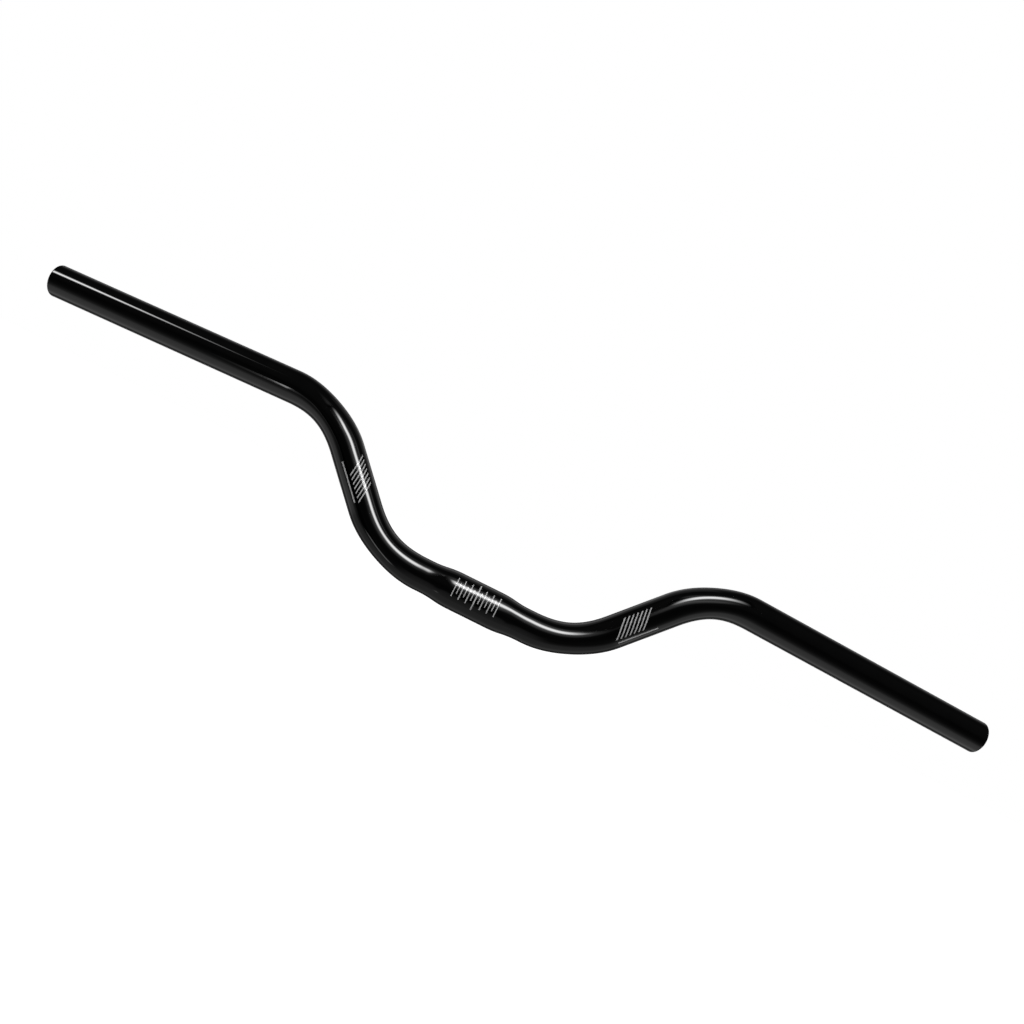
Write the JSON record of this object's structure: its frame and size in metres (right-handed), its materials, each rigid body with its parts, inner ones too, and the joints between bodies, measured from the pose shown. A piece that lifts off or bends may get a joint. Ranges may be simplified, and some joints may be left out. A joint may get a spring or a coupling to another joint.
{
  "type": "riser handlebar",
  "caption": "Gloss black bicycle riser handlebar: one bent tube with a formed clamp centre, rising to straight grips that sweep slightly back.",
  "frame": {"origin": "centre of the stem clamp length, on its axis", "axes": "+X along the clamp axis towards one grip, +Z the way the bar rises, +Y the way the grips sweep back towards the rider; the front of the bar faces -Y"},
  "size_m": [0.6998, 0.053, 0.0962],
  "materials": {
    "black_paint": "gloss"
  },
  "bodies": {
    "root": {"handlebar_tube": "black_paint"}
  },
  "joints": []
}
